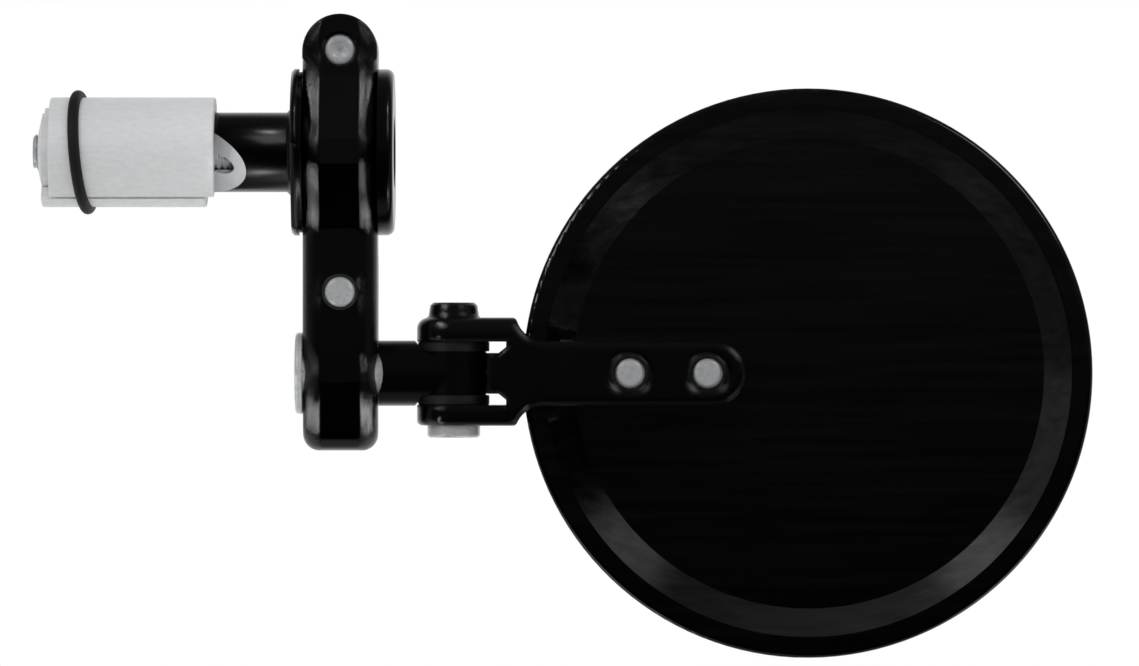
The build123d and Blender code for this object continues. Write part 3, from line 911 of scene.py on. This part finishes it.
@dataclass
class SwingArm:
    """The milled arm that clamps the plug's journal and the stalk's pin.

    Attributes:
        screws: The CAD nodes of its clamp screws.
    """

    screws: tuple[str, ...] = ("hub_pinch_screw", "stalk_pinch_screw")

    def build(self, frame: dict) -> None:
        """Leaves the arm's shape as the frame has it."""
        LOG.info("%s keeps its CAD shape", frame["nodes"]["swing_arm"].name)

    def dress(self, frame: dict) -> None:
        """Gives the arm and its screws their finishes.

        Args:
            frame: The loaded frame.
        """
        dress(frame, "swing_arm", TUMBLED_BLACK)
        for node in self.screws:
            dress(frame, node, ZINC_STEEL)


@dataclass
class Stalk:
    """The round stalk with the eye of the knuckle.

    Attributes:
        body: The CAD body that it rides on.
        washer_hole: Radius of the hole in a washer.
        washer_edge: Chamfer of a washer's rim.
        washer_squeeze: How much of the clearance above and below a washer its soft faces take up.
        washer_sides: Faces round a washer.
    """

    body: str = "stalk"
    washer_hole: float = 2.05
    washer_edge: float = 0.12
    washer_squeeze: float = 0.045
    washer_sides: int = 96

    def build(self, frame: dict) -> None:
        """Builds the washers and leaves the stalk's shape as the frame has it.

        Args:
            frame: The loaded frame.
        """
        for node in ("upper_washer", "lower_washer"):
            self.build_washer(node)
        LOG.info("%s keeps its CAD shape", frame["nodes"]["mirror_stalk"].name)

    def build_washer(self, node: str) -> None:
        """Builds a washer as the knuckle's bolt squeezes it, so that no light passes above or below it.

        Args:
            node: The CAD washer that it replaces.
        """
        low, high = (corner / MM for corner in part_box(node))
        middle = (low + high) / 2
        rim = (high.x - low.x) / 2
        foot = low.z - self.washer_squeeze
        top = high.z + self.washer_squeeze
        profile = [
            (self.washer_hole, foot),
            (rim - self.washer_edge, foot),
            (rim, foot + self.washer_edge),
            (rim, top - self.washer_edge),
            (rim - self.washer_edge, top),
            (self.washer_hole, top),
        ]
        turns = [math.tau * i / self.washer_sides for i in range(self.washer_sides)]
        loops = [
            [Vector((middle.x + r * math.cos(a), middle.y + r * math.sin(a), z)) for a in turns]
            for r, z in profile
        ]
        washer = loft(f"squeezed_{node}", loops, ring=True)
        washer.data.materials.append(WASHER_NYLON.material())
        crisp(washer.data)
        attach(washer, self.body)
        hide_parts(node)
        LOG.info("%s built", washer.name)

    def dress(self, frame: dict) -> None:
        """Gives the stalk's pieces their finishes."""
        dress(frame, "mirror_stalk", TURNED_BLACK)
        dress(frame, "pivot_pin", ZINC_STEEL)


@dataclass
class MirrorHead:
    """The fork, the round housing and its glass.

    Attributes:
        body: The CAD body that it rides on.
        screw: The strap screws' sizes that the frame's box doesn't give.
        screw_count: How many of them there are.
        glass_sag: How far the glass bulges.
        glass_ground_edge: Width of the chamfer ground on its edge.
        glass_rings: Rings of faces on the bulge.
        glass_sides: Faces round each ring.
        nose_gap: From the stalk's eye to the flat end of the bracket's nose.
        nose_height: Height of that flat end.
        cup_gap: From the eye to the cup on it.
        cup_relief: How far the cup's lips stay off the stalk when the head is turned square to it.
        cup_reach_deg: Most that a lip reaches round the eye.
        cup_steps: Faces along and round the cup.
    """

    body: str = "head"
    screw: SocketScrew = SocketScrew(
        head_radius=3.5,
        head_height=2.0,
        shank_radius=2.0,
        length=6.0,
        pitch=0.7,
        hex_width=2.5,
        hex_depth=1.1,
        head_edge=0.3,
        tip_chamfer=0.3,
        plain_length=0.8,
    )
    screw_count: int = 2
    glass_sag: float = 1.0
    glass_ground_edge: float = 0.2
    glass_rings: int = 28
    glass_sides: int = 160
    nose_gap: float = 0.15
    nose_height: float = 5.4
    cup_gap: float = 0.02
    cup_relief: float = 0.003
    cup_reach_deg: float = 25.0
    cup_steps: int = 24

    def build(self, frame: dict) -> None:
        """Builds the strap's screws, the glass and the nose's cup.

        Args:
            frame: The loaded frame.
        """
        self.build_screws()
        self.build_glass()
        self.build_cup()
        LOG.info("%s keeps its CAD shape", frame["nodes"]["mirror_housing"].name)

    def build_glass(self) -> None:
        """Builds the convex glass, flat at the back and with a ground edge."""
        low, high = (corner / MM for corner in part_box("mirror_glass"))
        middle = (low + high) / 2
        edge = (high.x - low.x) / 2
        curve = (edge**2 + self.glass_sag**2) / (2 * self.glass_sag)
        rim = high.y - self.glass_sag
        profile = [(low.y, edge), (rim - self.glass_ground_edge, edge)]
        for i in range(self.glass_rings):
            radius = (edge - self.glass_ground_edge) * (1 - i / self.glass_rings)
            profile.append((high.y - curve + math.sqrt(curve**2 - radius**2), radius))
        turns = [math.tau * i / self.glass_sides for i in range(self.glass_sides)]
        loops = [
            [Vector((middle.x + r * math.cos(a), y, middle.z + r * math.sin(a))) for a in turns]
            for y, r in profile
        ]
        glass = loft("convex_glass", loops)
        glass.data.materials.append(SILVERED_GLASS.material())
        crisp(glass.data)
        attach(glass, self.body)
        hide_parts("mirror_glass")
        LOG.info("%s built", glass.name)

    def build_cup(self) -> None:
        """Builds the cup on the bracket's nose, which follows the stalk's eye and lets no light through."""
        low, high = (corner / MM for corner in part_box("mirror_stalk"))
        eye = (high.z - low.z) / 2
        axis = Vector((high.x - eye, (high.y + low.y) / 2, (high.z + low.z) / 2))
        back = high.x + self.nose_gap - self.cup_relief
        inner = eye + self.cup_gap
        loops = []
        for i in range(self.cup_steps + 1):
            height = self.nose_height * (i / self.cup_steps - 0.5)
            side = math.sqrt(eye**2 - height**2) + self.cup_relief
            reach = min(math.acos(side / inner), math.radians(self.cup_reach_deg))
            loop = []
            for j in range(self.cup_steps + 1):
                turn = reach * (2 * j / self.cup_steps - 1)
                loop.append(axis + Vector((inner * math.cos(turn), inner * math.sin(turn), height)))
            edge = inner * math.sin(reach)
            loop.append(Vector((back, axis.y + edge, axis.z + height)))
            loop.append(Vector((back, axis.y - edge, axis.z + height)))
            loops.append(loop)
        cup = loft("nose_cup", loops)
        cup.data.materials.append(MILLED_BLACK.material())
        crisp(cup.data)
        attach(cup, self.body)
        LOG.info("%s built", cup.name)

    def build_screws(self) -> None:
        """Builds the two threaded screws that hold the strap."""
        low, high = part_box("mirror_screws")
        head_radius = (high.z - low.z) / 2
        seat = high.y - self.screw.head_height * MM
        sized = replace(self.screw, head_radius=head_radius / MM, length=(seat - low.y) / MM)
        pattern = sized.build("strap_screw", ZINC_STEEL)
        height = (high.z + low.z) / 2
        row = new_object("strap_screws", bpy.data.meshes.new("strap_screws"))
        bake_rule(
            row,
            row_rule(),
            {
                "Screw": pattern,
                "Count": self.screw_count,
                "First": (low.x + head_radius, seat, height),
                "Last": (high.x - head_radius, seat, height),
                "Turn": (0.0, 0.0, -math.pi / 2),
                "Finish": ZINC_STEEL.material(),
            },
        )
        bpy.data.objects.remove(pattern)
        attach(row, self.body)
        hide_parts("mirror_screws")
        LOG.info("%s built", row.name)

    def dress(self, frame: dict) -> None:
        """Gives the head's pieces their finishes.

        Args:
            frame: The loaded frame.
        """
        dress(frame, "mirror_bracket", MILLED_BLACK)
        dress(frame, "knuckle_bolt", ZINC_STEEL)
        dress(frame, "mirror_housing", FACED_BLACK)
        dress(frame, "glass_pad", PAD_FOAM)


@dataclass(frozen=True)
class SoftLamp:
    """One soft lamp of the studio, square when it is bare and round when it has a snoot.

    Attributes:
        name: The lamp's name.
        place_mm: Where it stands.
        aim_mm: The point that it is turned to.
        size_mm: Its width.
        watts: Its power.
        beam_deg: Angle of the beam that a snoot lets through, or none for a bare lamp.
    """

    name: str
    place_mm: tuple[float, float, float]
    aim_mm: tuple[float, float, float]
    size_mm: float
    watts: float
    beam_deg: float | None = None

    def hang(self) -> None:
        """Hangs the lamp and turns it to its aim."""
        kind = LampKind.SOFTBOX if self.beam_deg is None else LampKind.SNOOTED
        data = bpy.data.lights.new(self.name, kind.value)
        data.energy = self.watts
        if kind is LampKind.SOFTBOX:
            data.shape = "SQUARE"
            data.size = self.size_mm * MM
        else:
            data.shadow_soft_size = self.size_mm * MM / 2
            data.spot_size = math.radians(self.beam_deg)
            data.spot_blend = SNOOT_BLEND
        lamp = bpy.data.objects.new(self.name, data)
        lamp.location = Vector(self.place_mm) * MM
        heading = Vector(self.aim_mm) - Vector(self.place_mm)
        lamp.rotation_euler = heading.to_track_quat("-Z", "Y").to_euler()
        bpy.context.scene.collection.objects.link(lamp)


@dataclass(frozen=True)
class SnootPair:
    """Two snooted lamps that stand to the left and the right of one point.

    Attributes:
        level: What the lamps' names start with.
        aim_mm: The point that both are turned to.
        offset_mm: From that point to the right lamp. The left one stands as far to the other side.
        size_mm: Width of a lamp.
        watts: Power of a lamp.
        beam_deg: Angle of a lamp's beam.
    """

    level: str
    aim_mm: tuple[float, float, float]
    offset_mm: tuple[float, float, float]
    size_mm: float
    watts: float
    beam_deg: float

    def lamp(self, side: str, across: int) -> SoftLamp:
        """Makes one lamp of the pair.

        Args:
            side: The side that it stands on.
            across: Its side as a sign along X.

        Returns:
            The lamp.
        """
        aside, forward, up = self.offset_mm
        place = Vector(self.aim_mm) + Vector((across * aside, forward, up))
        name = f"{self.level}_{side}_snoot"
        return SoftLamp(name, tuple(place), self.aim_mm, self.size_mm, self.watts, self.beam_deg)


def studio_lamps() -> tuple[SoftLamp, ...]:
    """Lists the lamps: two softboxes, and snooted lamps for the wedge's slot and the arm's rounded edges.

    Returns:
        The lamps.
    """
    lamps = [
        SoftLamp("key_softbox", (-570.0, -600.0, 560.0), MIDDLE_MM, size_mm=400.0, watts=1.2),
        SoftLamp("fill_softbox", (640.0, -600.0, 520.0), MIDDLE_MM, size_mm=400.0, watts=0.9),
        SoftLamp("wedge_snoot", (51.6, -193.0, -22.0), SLOT_MM, size_mm=4.0, watts=0.8, beam_deg=1.8),
    ]
    pairs = (
        SnootPair("upper", HUB_MM, (106.0, -66.0, 156.0), size_mm=30.0, watts=0.24, beam_deg=8.0),
        SnootPair("lower", HUB_MM, (106.0, -66.0, -156.0), size_mm=50.0, watts=0.36, beam_deg=9.0),
        SnootPair("foot", FOOT_MM, (126.0, -139.0, -69.0), size_mm=24.0, watts=0.55, beam_deg=6.0),
    )
    for side, across in (("left", -1), ("right", 1)):
        lamps.extend(pair.lamp(side, across) for pair in pairs)
    return tuple(lamps)


@dataclass
class Studio:
    """Pale floor and backdrop, soft lamps and the camera at the photograph's angle.

    Attributes:
        aim_mm: The point that the camera looks at.
        distance_mm: How far the camera stands in front of that point.
        view_width_mm: How much of the object's plane the picture shows.
        floor_mm: Height of the floor.
        floor_side_mm: Width of the floor.
        sensor_mm: Width of the camera's sensor.
        paper_colour: The floor's colour, as an sRGB hex value.
        shadow_share: How much of the object's shadow the camera sees.
        shadow_reach_mm: How far from the middle the shadow starts to fade and has faded.
        room_level: The room's light on dull surfaces.
        bright_side: The way to the room's bright side, which lies behind the object.
        bright_edge: Where the room's dim side ends and its bright side starts, along that way.
        bright_levels: Light of the bright side that polished surfaces reflect, low down and high up.
        white_edge: Where the bright side starts to turn white and is white.
        dim_levels: Light of the dim side that they reflect, low down and high up.
        level_blend: Heights between which the low levels turn into the high ones.
        panel_heading: The way to a soft panel, the same on all sides.
        panel_edge: Where a panel starts to show and shows fully.
        panel_levels: Light of the low panels and of the high ones.
        lamps: The soft lamps.
    """

    aim_mm: tuple[float, float, float] = (36.9, 0.0, -24.05)
    distance_mm: float = 1000.0
    view_width_mm: float = 151.6
    floor_mm: float = -220.0
    floor_side_mm: float = 6000.0
    sensor_mm: float = 36.0
    paper_colour: str = "#F4F4F3"
    shadow_share: float = 0.3
    shadow_reach_mm: tuple[float, float] = (300.0, 900.0)
    room_level: float = 0.92
    bright_side: tuple[float, float, float] = (0.1, 1.0, -0.1)
    bright_edge: tuple[float, float] = (-0.38, -0.1)
    bright_levels: tuple[float, float] = (0.22, 0.08)
    white_edge: tuple[float, float] = (0.4, 1.0)
    dim_levels: tuple[float, float] = (0.0, 0.05)
    level_blend: tuple[float, float] = (-0.035, 0.03)
    panel_heading: tuple[float, float, float] = (0.70, 0.05, 0.71)
    panel_edge: tuple[float, float] = (0.93, 0.995)
    panel_levels: tuple[float, float] = (1.0, 0.12)
    lamps: tuple[SoftLamp, ...] = field(default_factory=studio_lamps)

    def build(self) -> None:
        """Makes the floor, the light and the camera."""
        self.make_floor()
        self.make_world()
        for lamp in self.lamps:
            lamp.hang()
        self.make_camera()
        bpy.context.scene.view_settings.view_transform = "Standard"
        LOG.info("studio built with %d lamps", len(self.lamps))

    def make_floor(self) -> None:
        """Lays one pale sheet that is white to the camera and keeps the object's shadow."""
        half = self.floor_side_mm * MM / 2
        height = self.floor_mm * MM
        mesh = bpy.data.meshes.new("floor")
        flat = ((-half, -half), (half, -half), (half, half), (-half, half))
        mesh.from_pydata([(x, y, height) for x, y in flat], [], [(0, 1, 2, 3)])
        mesh.materials.append(self.paper())
        floor = bpy.data.objects.new("floor", mesh)
        bpy.context.scene.collection.objects.link(floor)

    def paper(self) -> bpy.types.Material:
        """Makes the floor's paper: white far off, with the object's shadow kept close by.

        Returns:
            The floor's material.
        """
        material = bpy.data.materials.new("white_paper")
        material.use_nodes = True
        tree = material.node_tree
        tree.nodes.clear()
        place = add_node(tree, "ShaderNodeTexCoord").outputs["Object"]
        reach = add_node(tree, "ShaderNodeVectorMath", {0: place}, operation="LENGTH").outputs["Value"]
        shade = add_node(
            tree,
            "ShaderNodeMapRange",
            {
                "Value": reach,
                "From Min": self.shadow_reach_mm[0] * MM,
                "From Max": self.shadow_reach_mm[1] * MM,
                "To Min": 1 - self.shadow_share,
                "To Max": 1.0,
            },
        ).outputs["Result"]
        path = add_node(tree, "ShaderNodeLightPath")
        cover = add_node(
            tree, "ShaderNodeMath", {0: path.outputs["Is Camera Ray"], 1: shade}, operation="MULTIPLY"
        ).outputs[0]
        sheet = add_node(
            tree, "ShaderNodeBsdfDiffuse", {"Color": linear_colour(self.paper_colour)}
        ).outputs["BSDF"]
        white = add_node(
            tree, "ShaderNodeEmission", {"Color": WHITE, "Strength": 1.0}
        ).outputs["Emission"]
        mixed = add_node(tree, "ShaderNodeMixShader", {"Fac": cover, 1: sheet, 2: white}).outputs[0]
        clear = add_node(tree, "ShaderNodeBsdfTransparent").outputs["BSDF"]
        glossy = path.outputs["Is Glossy Ray"]
        shown = add_node(tree, "ShaderNodeMixShader", {"Fac": glossy, 1: mixed, 2: clear})
        add_node(tree, "ShaderNodeOutputMaterial", {"Surface": shown.outputs[0]})
        return material

    def make_world(self) -> None:
        """Makes a room that is white to the camera and lights dull and polished surfaces each in its way."""
        world = bpy.data.worlds.new("studio")
        bpy.context.scene.world = world
        world.use_nodes = True
        tree = world.node_tree
        tree.nodes.clear()
        path = add_node(tree, "ShaderNodeLightPath")
        glossy = self.reflected(tree)
        level = add_node(
            tree,
            "ShaderNodeMix",
            {"Factor": path.outputs["Is Glossy Ray"], VALUE_A: self.room_level, VALUE_B: glossy},
            data_type="FLOAT",
        ).outputs[0]
        seen = add_node(
            tree,
            "ShaderNodeMath",
            {0: path.outputs["Is Camera Ray"], 1: path.outputs["Is Transmission Ray"]},
            operation="MAXIMUM",
        ).outputs[0]
        shown = add_node(
            tree, "ShaderNodeMix", {"Factor": seen, VALUE_A: level, VALUE_B: 1.0}, data_type="FLOAT"
        ).outputs[0]
        room = add_node(tree, "ShaderNodeBackground", {"Color": WHITE, "Strength": shown})
        add_node(tree, "ShaderNodeOutputWorld", {"Surface": room.outputs[0]})

    def reflected(self, tree: bpy.types.NodeTree) -> bpy.types.NodeSocket:
        """Makes the light that polished surfaces reflect: white behind the object, dim on the camera's side.

        Four soft panels stand at the sides, low and high, where the arm's hubs reflect them.

        Args:
            tree: The world's node tree.

        Returns:
            The light from each heading.
        """
        heading = add_node(tree, "ShaderNodeTexCoord").outputs["Generated"]
        height = add_node(tree, "ShaderNodeSeparateXYZ", {"Vector": heading}).outputs["Z"]
        facing = add_node(
            tree, "ShaderNodeVectorMath", {0: heading, 1: self.bright_side}, operation="DOT_PRODUCT"
        ).outputs["Value"]
        levels = []
        for low, high in (self.dim_levels, self.bright_levels, self.panel_levels):
            level = add_node(
                tree,
                "ShaderNodeMapRange",
                {
                    "Value": height,
                    "From Min": self.level_blend[0],
                    "From Max": self.level_blend[1],
                    "To Min": low,
                    "To Max": high,
                },
                interpolation_type="SMOOTHSTEP",
            )
            levels.append(level.outputs["Result"])
        dim, bright, panel = levels
        wall = add_node(
            tree,
            "ShaderNodeMapRange",
            {
                "Value": facing,
                "From Min": self.bright_edge[0],
                "From Max": self.bright_edge[1],
                "To Min": dim,
                "To Max": bright,
            },
            interpolation_type="SMOOTHSTEP",
        ).outputs["Result"]
        behind = add_node(
            tree,
            "ShaderNodeMapRange",
            {
                "Value": facing,
                "From Min": self.white_edge[0],
                "From Max": self.white_edge[1],
                "To Min": wall,
                "To Max": 1.0,
            },
            interpolation_type="SMOOTHSTEP",
        ).outputs["Result"]
        folded = add_node(
            tree, "ShaderNodeVectorMath", {0: heading}, operation="ABSOLUTE"
        ).outputs["Vector"]
        aside = add_node(
            tree, "ShaderNodeVectorMath", {0: folded, 1: self.panel_heading}, operation="DOT_PRODUCT"
        ).outputs["Value"]
        glow = add_node(
            tree,
            "ShaderNodeMapRange",
            {
                "Value": aside,
                "From Min": self.panel_edge[0],
                "From Max": self.panel_edge[1],
                "To Min": 0.0,
                "To Max": panel,
            },
            interpolation_type="SMOOTHSTEP",
        ).outputs["Result"]
        return add_node(tree, "ShaderNodeMath", {0: behind, 1: glow}, operation="MAXIMUM").outputs[0]

    def make_camera(self) -> None:
        """Stands the camera straight in front of the mirror's back."""
        data = bpy.data.cameras.new("camera")
        data.sensor_width = self.sensor_mm
        data.lens = self.sensor_mm * self.distance_mm / self.view_width_mm
        camera = bpy.data.objects.new("camera", data)
        camera.location = (Vector(self.aim_mm) - Vector((0.0, self.distance_mm, 0.0))) * MM
        camera.rotation_euler = (math.radians(90), 0.0, 0.0)
        bpy.context.scene.collection.objects.link(camera)
        bpy.context.scene.camera = camera


def main() -> None:
    """Builds the dressed mirror and its studio."""
    logging.basicConfig(level=logging.INFO, format="%(message)s")
    for obj in list(bpy.data.objects):
        bpy.data.objects.remove(obj)
    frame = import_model()
    for assembly in (BarPlug(), SwingArm(), Stalk(), MirrorHead()):
        assembly.build(frame)
        assembly.dress(frame)
    Studio().build()


if __name__ == "__main__":
    main()
